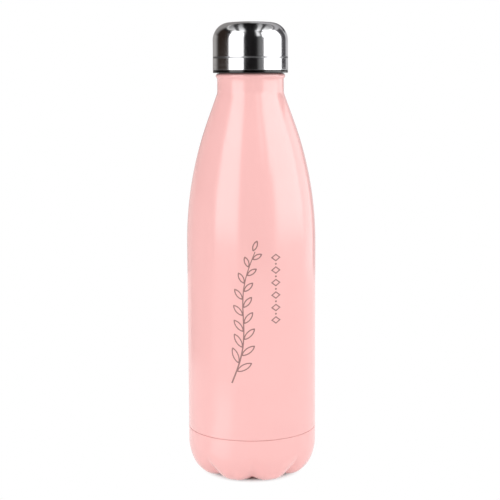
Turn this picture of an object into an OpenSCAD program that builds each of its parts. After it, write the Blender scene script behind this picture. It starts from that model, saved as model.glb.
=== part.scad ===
// Double-walled vacuum bottle with a lobed foot and a screw cap.
// Millimetres, +Z up, origin at the centre of the foot circle on the table.

/* [Outer body] */
// Outside diameter of the straight body
body_d = 72; // [66:0.5:80]
// Height above the table at which the straight body ends
body_h = 130.7; // [120:0.1:150]
// Radius of the convex sweep of the shoulder
shoulder_r = 197.7; // [180:0.1:220]
// Lean of the straight stretch of the shoulder, in degrees off the axis
shoulder_lean = 19.95; // [18:0.05:21]
// How far the slim neck stands out of the threaded finish
neck_step = 1.65; // [1.4:0.05:2]
// Radius of the concave blend from shoulder to neck
neck_blend_r = 8.2; // [6:0.1:12]
// Straight neck between the blend and the collar
neck_h = 6.2; // [5:0.1:10]
// How far the rolled collar stands out of the neck
collar_out = 0.8; // [0.6:0.05:1.2]
// Height of the rolled collar
collar_h = 3; // [2.4:0.1:3.6]
// Thickness of the outer steel
shell_wall = 0.5; // [0.4:0.05:0.8]

/* [Neck finish and thread] */
// Outside diameter of the finish at the thread root
finish_d = 33.5; // [30:0.5:37]
// Height of the finish above the collar
finish_h = 19.4; // [18.5:0.1:22]
// Width of the lip between the mouth and the finish
lip_w = 2.7; // [2.4:0.1:3.2]
// Lead of the single-start thread
thread_pitch = 4; // [3.5:0.1:5]
// Turns of thread on the neck and in the lid
thread_turns = 1.75; // [1.25:0.25:2]
// Height of the neck ridge over its root
neck_ridge_h = 1.1; // [0.9:0.05:1.2]
// Width of a ridge at its root
ridge_root_w = 1.9; // [1.6:0.1:2.1]
// Width of a ridge at its crest
ridge_crest_w = 0.9; // [0.6:0.1:1.2]
// Height of the first neck ridge above the collar
thread_start = 7.6; // [6:0.1:9]

/* [Inner vessel] */
// Vacuum gap between the two walls
vacuum_gap = 2.7; // [2:0.1:4]
// Thickness of the inner steel
liner_wall = 0.4; // [0.3:0.05:0.6]
// Corner radius of the inner bottom
liner_corner_r = 9; // [7:0.5:14]
// Height of the inner bottom cup
liner_base_h = 14; // [12:0.5:20]
// Thickness of the copper radiation foil
foil_t = 0.2; // [0.1:0.05:0.4]
// Height of the copper foil
foil_h = 72; // [50:1:75]

/* [Foot] */
// Height of the seam above the table
seam_z = 26; // [24:0.5:30]
// Number of lobes in the foot
lobes = 8; // [6:1:9]
// Radius of the circle on which the lobes stand
foot_r = 23; // [21:0.1:26]
// Height at which the foot starts to curve in
foot_curve_h = 17; // [15.5:0.1:20]
// Radial width of the flat land under each lobe
foot_land = 2; // [1.5:0.1:3]
// Greatest depth of the valleys between the lobes
valley_depth = 5.2; // [3:0.1:5.5]
// Share of that depth that is left where a valley reaches the land
valley_end = 0.44; // [0.35:0.01:0.6]
// Height of the hollow in the middle of the foot
hollow_h = 7; // [5:0.1:9]
// Thickness of the pressed foot cup
foot_wall = 0.6; // [0.5:0.05:0.8]
// Height of the spigot that slips into the shell
spigot_h = 4; // [3:0.1:5]
// Width of the open seam between shell and foot
seam_gap = 0.25; // [0.15:0.05:0.4]

/* [Vacuum bottom and getter] */
// Height of the flange of the vacuum bottom
vacuum_flange_h = 6; // [5:0.1:8]
// Clear height between the vacuum bottom and the inner vessel
vacuum_bottom_gap = 6; // [5:0.1:8]
// Diameter of the dimple around the evacuation hole
dimple_d = 12; // [9:0.5:16]
// Depth of the dimple
dimple_h = 2; // [1.5:0.1:2.5]
// Diameter of the evacuation hole
evac_hole_d = 1.6; // [1.2:0.1:2.5]
// Diameter of the getter pill
getter_d = 9; // [7:0.5:11]
// Height of the getter pill
getter_h = 2.6; // [2:0.1:3]
// Distance of the getter from the axis
getter_r = 19; // [16:0.5:22]

/* [Cap] */
// Wall of the threaded skirt inside the steel cap
skirt_wall = 1.95; // [1.8:0.05:3]
// Height of the steel cap from its rim to the middle of its top
cap_h = 26.5; // [26:0.1:30]
// Radius of the rounding between side and top
cap_corner_r = 9.6; // [8:0.1:10.5]
// Radius of the crowned top
cap_crown_r = 130; // [90:1:160]
// Thickness of the cap steel
cap_wall = 0.5; // [0.4:0.05:0.6]
// Height of the band below the fine line around the cap
cap_band_h = 6.8; // [5:0.1:10]
// How far that band stands out of the side
cap_band_out = 0.1; // [0.05:0.05:0.2]
// Width of the fine line
cap_line_w = 0.5; // [0.3:0.1:0.8]
// Depth of the fine line below the side
cap_line_depth = 0.15; // [0.1:0.05:0.2]
// Height of the visible ring of the lid body
lid_ring_h = 1.6; // [1.3:0.1:2.5]
// Radial clearance between the neck ridge and the lid bore
thread_clearance = 0.4; // [0.3:0.05:0.5]
// Thickness of the ceiling of the lid body
lid_ceiling_t = 2; // [1.5:0.1:2.4]
// Thickness of the lip gasket
gasket_t = 1.6; // [1.2:0.1:2.4]
// Radial clearance between plug and mouth
plug_clearance = 0.6; // [0.4:0.05:1]
// Depth of the plug below the lip
plug_depth = 14; // [10:0.5:18]
// Wall of the plug
plug_wall = 1.2; // [1:0.1:1.6]
// How far the boss that holds the plug steps in from the plug
boss_step = 2.3; // [1.8:0.1:3]
// Height of the boss above the ceiling
boss_h = 0.6; // [0.3:0.1:1]

/* [Clearances] */
// Slip fit between nested pieces, on the radius
slip = 0.05; // [0.03:0.01:0.08]
// Gap between two bodies that part when the cap is unscrewed
part_gap = 0.15; // [0.1:0.05:0.3]
// Axial play between the two threads when the cap is tight
thread_play = 0.35; // [0.3:0.05:0.5]

/* [Hidden] */
$fn = 96;

// Small sizes that stay as they are
steel_edge = 0.15;       // rounding of a cut edge of the outer wall
lip_edge_r = 0.8;        // rolled edge of the lip
collar_fillet = 0.3;     // foot of the collar
spigot_clearance = 0.5;  // between the spigot and the vacuum bottom
foil_lift = 6;           // foil above the weld of the inner bottom
flange_corner_r = 3;     // corner of the vacuum bottom
seal_t = 1.2;            // glass solder
seal_margin = 1;         // between the solder and the dimple's side
dish_wall = 0.3;         // dish of the getter
dish_h = 1.6;
ring_edge = 0.3;         // bevel of the lid's visible ring
band_edge = 0.2;         // rounding of the cap's rim
gasket_margin = 0.1;     // gasket inside the finish
foam_gap = 0.3;          // foam below the steel top

// Radii that the pieces share
body_r = body_d / 2;
finish_r = finish_d / 2;
neck_r = finish_r + neck_step;
mouth_r = finish_r - lip_w;
collar_r = neck_r + collar_out;
shell_bore_r = body_r - shell_wall;
liner_body_r = shell_bore_r - vacuum_gap;
liner_neck_r = mouth_r + liner_wall;

// The shoulder in profile: centre radius of its arc, where it ends, and its blend
arc_centre_r = body_r - shoulder_r;
function straight_len(arc_r, blend_r, end_r) =
    (arc_centre_r + arc_r * cos(shoulder_lean) - blend_r * (1 - cos(shoulder_lean)) - end_r)
    / sin(shoulder_lean);
function neck_start_z(arc_r, blend_r, end_r) =
    body_h + (arc_r + blend_r) * sin(shoulder_lean)
    + straight_len(arc_r, blend_r, end_r) * cos(shoulder_lean);
function arc_points(cr, cz, r, from, to, steps) =
    [for (i = [0:steps]) let (a = from + (to - from) * i / steps) [cr + r * cos(a), cz + r * sin(a)]];
// Body side, shoulder and neck of one wall, from the body up to the neck
function wall_line(arc_r, blend_r, end_r) =
    let (blend_z = neck_start_z(arc_r, blend_r, end_r))
    concat(arc_points(arc_centre_r, body_h, arc_r, 0, shoulder_lean, 12),
           arc_points(end_r + blend_r, blend_z, blend_r, 180 + shoulder_lean, 180, 4));
function reversed(v) = [for (i = [len(v) - 1:-1:0]) v[i]];

// Heights
neck_z = neck_start_z(shoulder_r, neck_blend_r, neck_r);
collar_z = neck_z + neck_h;
collar_top = collar_z + collar_h;
lip_z = collar_top + finish_h;
spigot_top = seam_z + spigot_h;
vacuum_base_z = spigot_top + spigot_clearance;
liner_floor_z = vacuum_base_z + shell_wall + vacuum_bottom_gap;
liner_weld_z = liner_floor_z + liner_base_h;
foil_z = liner_weld_z + foil_lift;

// Cap
lid_bore_r = finish_r + neck_ridge_h + thread_clearance;
lid_side_r = lid_bore_r + skirt_wall;
cap_r = lid_side_r + slip + cap_wall;
ring_z = collar_top + part_gap;
rim_z = ring_z + lid_ring_h + slip;
cap_top = rim_z + cap_h;
corner_centre_r = cap_r - cap_corner_r;
corner_centre_z = cap_top - cap_crown_r
    + sqrt(pow(cap_crown_r - cap_corner_r, 2) - pow(corner_centre_r, 2));
crown_tilt = asin(corner_centre_r / (cap_crown_r - cap_corner_r));
lid_corner_r = cap_corner_r - cap_wall - slip;
gasket_z = lip_z + part_gap;
ceiling_z = gasket_z + gasket_t + part_gap;
ceiling_top = ceiling_z + lid_ceiling_t;
plug_r = mouth_r - plug_clearance;
boss_r = plug_r - boss_step;
plug_floor_z = lip_z - plug_depth;
// How deep both ridges sit in the walls that carry them
ridge_bite = 0.2;
// Drop of the lid ridge below the neck ridge: half of each ridge where they pass, plus the play
flank_drop = ridge_root_w + thread_play
    - (ridge_root_w - ridge_crest_w) / 2
      * (lid_bore_r - finish_r + 2 * ridge_bite) / (neck_ridge_h + ridge_bite);

paint = [0.98, 0.77, 0.76];
bare_steel = [0.78, 0.78, 0.77];
mirror_steel = [0.88, 0.88, 0.9];
copper = [0.72, 0.45, 0.2];
black_plastic = [0.08, 0.08, 0.09];
pale_plastic = [0.88, 0.86, 0.82];

module lathe(outline) rotate_extrude() polygon(outline);

// A helical ridge of trapezoid section. root_r lies inside the wall that carries it,
// crest_r is its free edge; both ends run out into the wall.
module thread_ridge(root_r, crest_r, start_z) {
    step = 10;
    count = round(thread_turns * 360 / step);
    fade = 4;
    function height(i) = min(1, (i + 0.4) / fade, (count - i + 0.4) / fade);
    points = [for (i = [0:count]) let (
            a = i * step,
            z = start_z + thread_pitch * a / 360,
            r = root_r + (crest_r - root_r) * height(i))
        each [[root_r * cos(a), root_r * sin(a), z - ridge_root_w / 2],
              [r * cos(a), r * sin(a), z - ridge_crest_w / 2],
              [r * cos(a), r * sin(a), z + ridge_crest_w / 2],
              [root_r * cos(a), root_r * sin(a), z + ridge_root_w / 2]]];
    sides = [for (i = [0:count - 1], k = [0:3]) let (p = 4 * i + k, q = 4 * i + (k + 1) % 4)
        each [[p, q, q + 4], [p, q + 4, p + 4]]];
    ends = [[0, 3, 2], [0, 2, 1], [4 * count, 4 * count + 1, 4 * count + 2],
            [4 * count, 4 * count + 2, 4 * count + 3]];
    faces = concat(sides, ends);
    outward = crest_r > root_r;
    polyhedron(points, [for (f = faces) outward ? f : reversed(f)]);
}

// Painted outer wall: straight body, shoulder, slim neck, collar and threaded finish
module outer_shell() color(paint) {
    inner_z = seam_z + seam_gap / 2;
    bead = collar_h / 2;
    bead_a = acos((neck_r - collar_r + bead) / bead);
    step_r = finish_r - shell_wall;
    outline = concat(
        [[shell_bore_r, inner_z], [body_r - steel_edge, inner_z], [body_r, inner_z + steel_edge]],
        wall_line(shoulder_r, neck_blend_r, neck_r),
        arc_points(collar_r - bead, collar_z + bead, bead, -bead_a, bead_a, 8),
        [[neck_r - collar_fillet, collar_top], [finish_r, collar_top + shell_wall]],
        arc_points(finish_r - lip_edge_r, lip_z - lip_edge_r, lip_edge_r, 0, 90, 4),
        [[liner_neck_r + slip, lip_z], [liner_neck_r + slip, lip_z - shell_wall],
         [step_r - lip_edge_r + shell_wall, lip_z - shell_wall], [step_r, lip_z - lip_edge_r],
         [step_r, collar_top - collar_fillet], [neck_r - shell_wall, collar_z + bead]],
        reversed(wall_line(shoulder_r - shell_wall, neck_blend_r + shell_wall, neck_r - shell_wall)));
    lathe(outline);
    thread_ridge(finish_r - ridge_bite, finish_r + neck_ridge_h, collar_top + thread_start);
}

// Inner wall, from the weld with its bottom cup up to the lip
module liner() color(bare_steel) {
    arc_r = shoulder_r - (body_r - liner_body_r);
    blend_r = neck_blend_r + (body_r - liner_body_r);
    outline = concat(
        [[liner_body_r - liner_wall, liner_weld_z], [liner_body_r, liner_weld_z]],
        wall_line(arc_r, blend_r, liner_neck_r),
        [[liner_neck_r, lip_z], [liner_neck_r - liner_wall, lip_z]],
        reversed(wall_line(arc_r - liner_wall, blend_r + liner_wall, mouth_r)));
    lathe(outline);
}

// Bottom cup of the inner vessel
module liner_base() color(bare_steel) {
    corner_r = liner_body_r - liner_corner_r;
    corner_z = liner_floor_z + liner_corner_r;
    lathe(concat(
        [[0, liner_floor_z]],
        arc_points(corner_r, corner_z, liner_corner_r, -90, 0, 6),
        [[liner_body_r, liner_weld_z - slip], [liner_body_r - liner_wall, liner_weld_z - slip]],
        arc_points(corner_r, corner_z, liner_corner_r - liner_wall, 0, -90, 6),
        [[0, liner_floor_z + liner_wall]]));
}

// Copper foil wrapped round the inner vessel
module copper_foil() color(copper) {
    r = liner_body_r + slip;
    lathe([[r, foil_z], [r + foil_t, foil_z], [r + foil_t, foil_z + foil_h], [r, foil_z + foil_h]]);
}

// Outer vacuum bottom: a cup welded into the shell, with a dimple round the evacuation hole
module vacuum_base() color(bare_steel) {
    t = shell_wall;
    r = shell_bore_r - slip;
    corner = flange_corner_r;
    z = vacuum_base_z;
    dimple_r = dimple_d / 2;
    lathe(concat(
        [[evac_hole_d / 2, z + dimple_h], [dimple_r - t, z + dimple_h], [dimple_r, z]],
        arc_points(r - corner, z + corner, corner, -90, 0, 5),
        [[r, z + vacuum_flange_h], [r - t, z + vacuum_flange_h]],
        arc_points(r - corner, z + corner, corner - t, 0, -90, 5),
        [[dimple_r + t / 2, z + t], [dimple_r - t / 2, z + dimple_h + t],
         [evac_hole_d / 2, z + dimple_h + t]]));
}

// Glass solder that fills the dimple and closes the hole
module vacuum_seal() color([0.55, 0.6, 0.5])
    translate([0, 0, vacuum_base_z + dimple_h - slip - seal_t])
        cylinder(r = dimple_d / 2 - shell_wall - seal_margin, h = seal_t);

// Small pressed dish on the vacuum bottom that holds the getter
getter_floor_z = vacuum_base_z + shell_wall + slip;
module getter_holder() color(bare_steel)
    translate([getter_r, 0, getter_floor_z]) difference() {
        cylinder(d = getter_d + 2 * slip + 2 * dish_wall, h = dish_h, $fn = 48);
        translate([0, 0, dish_wall]) cylinder(d = getter_d + 2 * slip, h = dish_h, $fn = 48);
    }

// Getter pill
module getter() color([0.45, 0.45, 0.47])
    translate([getter_r, 0, getter_floor_z + dish_wall + slip]) cylinder(d = getter_d, h = getter_h, $fn = 48);

// Pressed foot: a cup with lobes and valleys, hollow in the middle, and a spigot at its top.
// Valleys lie at 0 and every 360 / lobes degrees from -Y.
azimuth_steps = lobes * 10;
curve_steps = 9;
slope_steps = 5;
hub_r = foot_r * 0.3;
// Weight of the valley at azimuth a: 1 in its crease, 0 on the flat of a lobe
function valley(a) = pow(max(0, 1 - norm([sin(lobes * a / 2), 0.06]) / 0.94), 1.2);
// Point under the foot at azimuth a. s runs 0..1 down the outer curve, 1..2 over the land
// and 2..3 up to the hub; inset moves it into the wall.
function foot_point(a, s, inset) = let (
        t = 90 * min(s, 1),
        up = max(0, s - 2),
        inner_r = foot_r - foot_land,
        r0 = s <= 1 ? foot_r + (body_r - foot_r - inset) * cos(t)
           : s <= 2 ? foot_r - foot_land * (s - 1)
           : inner_r + (hub_r - inner_r) * up,
        z0 = inset + (s <= 1 ? (foot_curve_h - inset) * (1 - sin(t))
                   : s <= 2 ? 0
                   : hollow_h * (1 - cos(180 * up)) / 2),
        depth = valley_depth * valley(a)
              * (s <= 1 ? pow(sin(t), 1.2) * (1 - (1 - valley_end) * pow(sin(t), 6))
                 : valley_end * (s <= 2 ? 1 : pow(1 - up, 1.5))),
        tilt = s <= 1 ? t : 90,
        r = r0 - depth * cos(tilt),
        z = z0 + depth * sin(tilt))
    [r * sin(a), -r * cos(a), z];
function ring(r, z) = [for (i = [0:azimuth_steps - 1]) let (a = 360 * i / azimuth_steps)
    [r * sin(a), -r * cos(a), z]];
function foot_ring(s, inset) = [for (i = [0:azimuth_steps - 1])
    foot_point(360 * i / azimuth_steps, s, inset)];
foot_rows = concat([for (i = [1:curve_steps]) i / curve_steps],
                   [2], [for (i = [1:slope_steps]) 2 + i / slope_steps]);
module petal_base() color(paint) {
    rim_z = seam_z - seam_gap / 2;
    spigot_r = shell_bore_r - slip;
    bore_r = spigot_r - shell_wall;
    rings = concat(
        [ring(bore_r, spigot_top), ring(spigot_r, spigot_top), ring(spigot_r, rim_z),
         ring(body_r - steel_edge, rim_z), ring(body_r, rim_z - steel_edge), ring(body_r, foot_curve_h)],
        [for (s = foot_rows) foot_ring(s, 0)],
        [for (s = reversed(foot_rows)) foot_ring(s, foot_wall)],
        [ring(body_r - foot_wall, foot_curve_h), ring(body_r - foot_wall, rim_z - 3),
         ring(bore_r, rim_z - 1.5)]);
    n = azimuth_steps;
    outer_rows = 6 + len(foot_rows);
    rows = len(rings);
    poles = [[0, 0, hollow_h], [0, 0, hollow_h + foot_wall]];
    points = concat([for (row = rings) each row], poles);
    bands = [for (k = [0:rows - 1]) if (k != outer_rows - 1) let (m = (k + 1) % rows)
        each [for (i = [0:n - 1]) let (j = (i + 1) % n)
            each [[k * n + i, m * n + j, k * n + j], [k * n + i, m * n + i, m * n + j]]]];
    caps = [for (i = [0:n - 1]) let (j = (i + 1) % n, k = (outer_rows - 1) * n, m = outer_rows * n)
        each [[k + i, rows * n, k + j], [m + j, rows * n + 1, m + i]]];
    polyhedron(points, concat(bands, caps));
}

// Silicone washer between the lip and the ceiling of the lid
module lip_gasket() color([0.9, 0.9, 0.88])
    translate([0, 0, gasket_z]) difference() {
        cylinder(r = finish_r - gasket_margin, h = gasket_t);
        translate([0, 0, -1]) cylinder(r = plug_r + 3 * slip, h = gasket_t + 2);
    }

// Polished steel cover of the cap
module cap_shell() color(mirror_steel) {
    line_z = rim_z + cap_band_h;
    band_r = cap_r + cap_band_out;
    inner_r = cap_r - cap_wall;
    crown = cap_top - cap_crown_r;
    outline = concat(
        [[inner_r, rim_z], [band_r - band_edge, rim_z], [band_r, rim_z + band_edge],
         [band_r, line_z - cap_line_w / 2], [cap_r - cap_line_depth, line_z],
         [cap_r, line_z + cap_line_w / 2]],
        arc_points(corner_centre_r, corner_centre_z, cap_corner_r, 0, 90 - crown_tilt, 12),
        [for (i = [1:4]) let (a = crown_tilt * (1 - i / 4)) [cap_crown_r * sin(a), crown + cap_crown_r * cos(a)]],
        [for (i = [0:4]) let (a = crown_tilt * i / 4, r = cap_crown_r - cap_wall)
            [r * sin(a), crown + r * cos(a)]],
        arc_points(corner_centre_r, corner_centre_z, cap_corner_r - cap_wall, 90 - crown_tilt, 0, 12));
    lathe(outline);
}

// Black lid body: visible ring, threaded skirt and ceiling
module lid_body() color(black_plastic) {
    rise = ceiling_top - corner_centre_z;
    top_a = asin(rise / lid_corner_r);
    lathe(concat(
        [[lid_bore_r + ring_edge, ring_z], [cap_r - ring_edge, ring_z], [cap_r, ring_z + ring_edge],
         [cap_r, rim_z - slip], [lid_side_r, rim_z - slip]],
        arc_points(corner_centre_r, corner_centre_z, lid_corner_r, 0, top_a, 4),
        [[boss_r + slip, ceiling_top], [boss_r + slip, ceiling_z],
         [lid_bore_r, ceiling_z], [lid_bore_r, ring_z + ring_edge]]));
    thread_ridge(lid_bore_r + ridge_bite, lid_bore_r - neck_ridge_h, collar_top + thread_start - flank_drop);
}

// Hollow plug under the ceiling, held by its boss
module plug_cup() color(pale_plastic) {
    bore = boss_r - plug_wall;
    shoulder_z = ceiling_z - slip;
    lathe([[0, plug_floor_z], [plug_r - 1, plug_floor_z], [plug_r, plug_floor_z + 1],
           [plug_r, shoulder_z], [boss_r, shoulder_z], [boss_r, ceiling_top + boss_h],
           [bore, ceiling_top + boss_h], [bore, shoulder_z - 2 * plug_wall],
           [plug_r - plug_wall, shoulder_z - 3 * plug_wall],
           [plug_r - plug_wall, plug_floor_z + plug_wall], [0, plug_floor_z + plug_wall]]);
}

// Foam that fills the plug and carries the steel top
module foam_core() color([0.95, 0.94, 0.9]) {
    r = boss_r - plug_wall - slip;
    z = plug_floor_z + plug_wall + slip;
    top = cap_top - cap_crown_r + sqrt(pow(cap_crown_r - cap_wall, 2) - r * r) - foam_gap;
    translate([0, 0, z]) cylinder(r = r, h = top - z);
}

outer_shell();
liner();
liner_base();
copper_foil();
vacuum_base();
getter_holder();
getter();
vacuum_seal();
petal_base();
lip_gasket();
cap_shell();
lid_body();
plug_cup();
foam_core();
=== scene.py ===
import math

import bpy
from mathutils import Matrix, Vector


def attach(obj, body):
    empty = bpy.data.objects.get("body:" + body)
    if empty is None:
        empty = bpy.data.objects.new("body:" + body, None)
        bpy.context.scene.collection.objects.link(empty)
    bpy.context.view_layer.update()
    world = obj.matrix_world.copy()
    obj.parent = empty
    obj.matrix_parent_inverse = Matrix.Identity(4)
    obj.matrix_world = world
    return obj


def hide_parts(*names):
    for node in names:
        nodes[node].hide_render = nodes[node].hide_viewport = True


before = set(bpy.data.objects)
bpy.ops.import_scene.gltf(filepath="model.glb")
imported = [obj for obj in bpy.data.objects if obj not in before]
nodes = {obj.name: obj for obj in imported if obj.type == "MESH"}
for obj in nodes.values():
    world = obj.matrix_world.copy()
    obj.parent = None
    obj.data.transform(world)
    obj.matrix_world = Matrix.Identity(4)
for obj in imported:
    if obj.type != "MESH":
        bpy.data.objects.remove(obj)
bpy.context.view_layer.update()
mm = 0.001
roundSteps = 240         # points round a turned piece
smoothDeg = 32           # edges that bend by less than this are shaded smooth
mergeGap = 0.002         # mm, points closer than this are one
onSurface = 0.01         # mm, how near a point lies to the surface it belongs to
print("frame loaded:", len(nodes), "parts")


def deselectAll():
    bpy.ops.object.select_all(action="DESELECT")


def hexToLinear(code):
    # sRGB hex, as a colour picker shows it, to the linear numbers that shaders want
    channels = [int(code[i:i + 2], 16) / 255 for i in (1, 3, 5)]
    return [c / 12.92 if c <= 0.04045 else ((c + 0.055) / 1.055) ** 2.4 for c in channels] + [1.0]


def arc(centreR, centreZ, radius, fromDeg, toDeg, steps):
    # points of an arc in the (radius, height) plane, in mm
    turn = [math.radians(fromDeg + (toDeg - fromDeg) * i / steps) for i in range(steps + 1)]
    return [(centreR + radius * math.cos(a), centreZ + radius * math.sin(a)) for a in turn]


def line(start, end, steps):
    # evenly spaced points after start, up to end
    return [tuple(s + (e - s) * i / steps for s, e in zip(start, end)) for i in range(1, steps + 1)]


def turned(name, outline, around=roundSteps, closed=True):
    # a ring at the first point, then extruded and scaled to each next one, as on a potter's wheel
    deselectAll()
    radius, height = outline[0]
    bpy.ops.mesh.primitive_circle_add(vertices=around, radius=radius * mm,
                                      location=(0, 0, height * mm))
    piece = bpy.context.object
    bpy.ops.object.transform_apply(location=True, rotation=False, scale=False)
    bpy.ops.object.mode_set(mode="EDIT")
    bpy.ops.mesh.select_all(action="SELECT")
    for (r0, z0), (r1, z1) in zip(outline, outline[1:]):
        bpy.ops.mesh.extrude_region_move(TRANSFORM_OT_translate={"value": (0, 0, (z1 - z0) * mm)})
        bpy.ops.transform.resize(value=(r1 / r0, r1 / r0, 1), center_override=(0, 0, z1 * mm))
    bpy.ops.mesh.select_all(action="SELECT")
    bpy.ops.mesh.remove_doubles(threshold=mergeGap * mm)
    if not closed:
        bpy.ops.mesh.fill_holes(sides=around)
    bpy.ops.mesh.normals_make_consistent(inside=False)
    bpy.ops.object.mode_set(mode="OBJECT")
    piece.name = name
    piece.data.name = name
    return piece


def selectFaces(piece, wanted):
    # goes into edit mode with just the wanted faces selected
    bpy.context.view_layer.objects.active = piece
    bpy.ops.object.mode_set(mode="EDIT")
    bpy.ops.mesh.select_all(action="DESELECT")
    bpy.ops.object.mode_set(mode="OBJECT")
    for face in piece.data.polygons:
        face.select = wanted(face)
    bpy.ops.object.mode_set(mode="EDIT")


def shapeBy(piece, rule):
    # moves every point by a rule that takes its azimuth from the front, its radius and its
    # height, and gives a new radius and height, in mm
    for vertex in piece.data.vertices:
        x, y, z = (c / mm for c in vertex.co)
        azimuth = math.atan2(x, -y)
        radius, height = rule(azimuth, math.hypot(x, y), z)
        vertex.co = Vector((radius * math.sin(azimuth), -radius * math.cos(azimuth), height)) * mm
    piece.data.update()


def solidify(piece, thickness):
    # gives a skin its thickness, towards the inside
    bpy.context.view_layer.objects.active = piece
    modifier = piece.modifiers.new("wall", "SOLIDIFY")
    modifier.thickness = thickness * mm
    modifier.offset = -1
    bpy.ops.object.modifier_apply(modifier=modifier.name)


def finished(piece, material, body, replaced=()):
    # shading, material and place in the model: what each new piece gets last
    deselectAll()
    piece.select_set(True)
    bpy.context.view_layer.objects.active = piece
    bpy.ops.object.shade_smooth_by_angle(angle=math.radians(smoothDeg))
    piece.data.materials.clear()
    piece.data.materials.append(material)
    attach(piece, body)
    if replaced:
        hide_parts(*replaced)
    print("made", piece.name, len(piece.data.polygons), "faces")


# Sizes in mm, pixels in the 500 x 500 frame. The eye is level with the lower edge of the cap.
cameraSetup = {
    "aside": -0.66,          # how far the eye stands off the front line
    "distance": 703.4,
    "eyeHeight": 224.9,
    "pitchDeg": 6.99,        # looking down
    "rollDeg": -0.27,
    "lensPixels": 1263.0,    # focal length, in pixels of the frame
    "framePixels": 500,
    "sensorWidth": 36.0,
    "shiftY": -0.045,
    "clipEnd": 30.0,         # m
}


def addCamera():
    # the camera stands in front of the bottle and looks a little down at it
    s = cameraSetup
    deselectAll()
    bpy.ops.object.camera_add(location=Vector((s["aside"], -s["distance"], s["eyeHeight"])) * mm)
    camera = bpy.context.object
    camera.name = "camera"
    # tilted down first, then rolled about its own line of sight
    camera.rotation_euler = (math.radians(90 - s["pitchDeg"]), 0, 0)
    camera.rotation_euler.rotate_axis("Z", math.radians(s["rollDeg"]))
    camera.data.sensor_fit = "HORIZONTAL"
    camera.data.sensor_width = s["sensorWidth"]
    camera.data.lens = s["lensPixels"] / s["framePixels"] * s["sensorWidth"]
    camera.data.shift_y = s["shiftY"]
    camera.data.clip_end = s["clipEnd"]
    bpy.context.scene.camera = camera


addCamera()
print("camera placed")


smoothStep = {"interpolation_type": "SMOOTHSTEP"}
colourMix = {"data_type": "RGBA"}
multiply = {"operation": "MULTIPLY"}


def startMaterial(name):
    # a new material with its node tree and its one shader
    material = bpy.data.materials.new(name)
    material.use_nodes = True
    tree = material.node_tree
    return material, tree, tree.nodes["Principled BSDF"]


def feed(tree, node, **inputs):
    # a socket gets a value, or the socket that feeds it; i0, i1 ... name sockets by number
    for key, value in inputs.items():
        numbered = key[0] == "i" and key[1:].isdigit()
        socket = node.inputs[int(key[1:]) if numbered else key.replace("_", " ")]
        if isinstance(value, bpy.types.NodeSocket):
            tree.links.new(value, socket)
        else:
            socket.default_value = value


def add(tree, kind, settings=None, **inputs):
    # one node: settings are its own properties, inputs are what its sockets get
    node = tree.nodes.new(kind)
    for key, value in (settings or {}).items():
        setattr(node, key, value)
    feed(tree, node, **inputs)
    return node


paint = {
    "colour": "#FAC2BF",
    "shade": "#F8BEBB",      # slightly thicker patches of the coat
    "patch": 26.0,           # mm, slow drift of colour
    "grain": 0.6,            # mm, pimples of the sprayed coat
    "streakHeight": 0.7,     # mm, belt lines of the sheet under the paint
    "streakTurns": 5.0,      # how often a line changes along a radian of the way round
    "streakTop": 50.0,       # mm above the table, where the lines begin to show
    "streakBottom": 22.0,    # and where they show in full
    "streakWeight": 6.0,     # against the pimples
    "reliefDepth": 0.03,     # mm
    "reliefStrength": 0.1,
    "roughness": 0.16,
    "ior": 1.55,
}


def powderCoat():
    # Powder coat, sprayed and baked on steel: an even satin skin with a very fine orange peel.
    # Near the weld the lines of the belt that ground it flat show through.
    s = paint
    material, tree, shader = startMaterial("satinPowderCoat")
    place = add(tree, "ShaderNodeTexCoord").outputs["Object"]
    drift = add(tree, "ShaderNodeTexNoise", Vector=place, Scale=1 / (s["patch"] * mm), Detail=3.0)
    mix = add(tree, "ShaderNodeMix", colourMix,
              i0=drift.outputs["Fac"], i6=hexToLinear(s["colour"]), i7=hexToLinear(s["shade"]))
    split = add(tree, "ShaderNodeSeparateXYZ", Vector=place)
    turn = add(tree, "ShaderNodeMath", {"operation": "ARCTAN2"},
               i0=split.outputs["X"], i1=split.outputs["Y"])
    wrapped = add(tree, "ShaderNodeCombineXYZ", X=turn.outputs[0], Z=split.outputs["Z"])
    stretched = add(tree, "ShaderNodeMapping", Vector=wrapped.outputs[0],
                    Scale=(s["streakTurns"], s["streakTurns"], 1 / (s["streakHeight"] * mm)))
    streak = add(tree, "ShaderNodeTexNoise", Vector=stretched.outputs[0], Scale=1.0, Detail=4.0)
    near = add(tree, "ShaderNodeMapRange", smoothStep, Value=split.outputs["Z"],
               From_Min=s["streakTop"] * mm, From_Max=s["streakBottom"] * mm)
    lines = add(tree, "ShaderNodeMath", multiply, i0=streak.outputs["Fac"], i1=near.outputs[0])
    pimple = add(tree, "ShaderNodeTexNoise", Vector=place, Scale=1 / (s["grain"] * mm), Detail=2.0)
    relief = add(tree, "ShaderNodeMath", {"operation": "MULTIPLY_ADD"},
                 i0=lines.outputs[0], i1=s["streakWeight"], i2=pimple.outputs["Fac"])
    bump = add(tree, "ShaderNodeBump", Strength=s["reliefStrength"],
               Distance=s["reliefDepth"] * mm, Height=relief.outputs[0])
    feed(tree, shader, Base_Color=mix.outputs[2], Roughness=s["roughness"], IOR=s["ior"],
         Normal=bump.outputs[0])
    return material


laser = {
    "colour": "#A37B77",     # dull steel with a haze of burnt paint
    "burnt": "#8F6D6A",
    "lineStep": 0.12,        # mm, from one line of the laser to the next
    "lineLength": 2.0,       # mm, before a line changes its tone
    "depth": 0.02,           # mm
    "depthStrength": 0.3,
    "roughness": 0.55,
    "metallic": 0.2,
}


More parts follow.
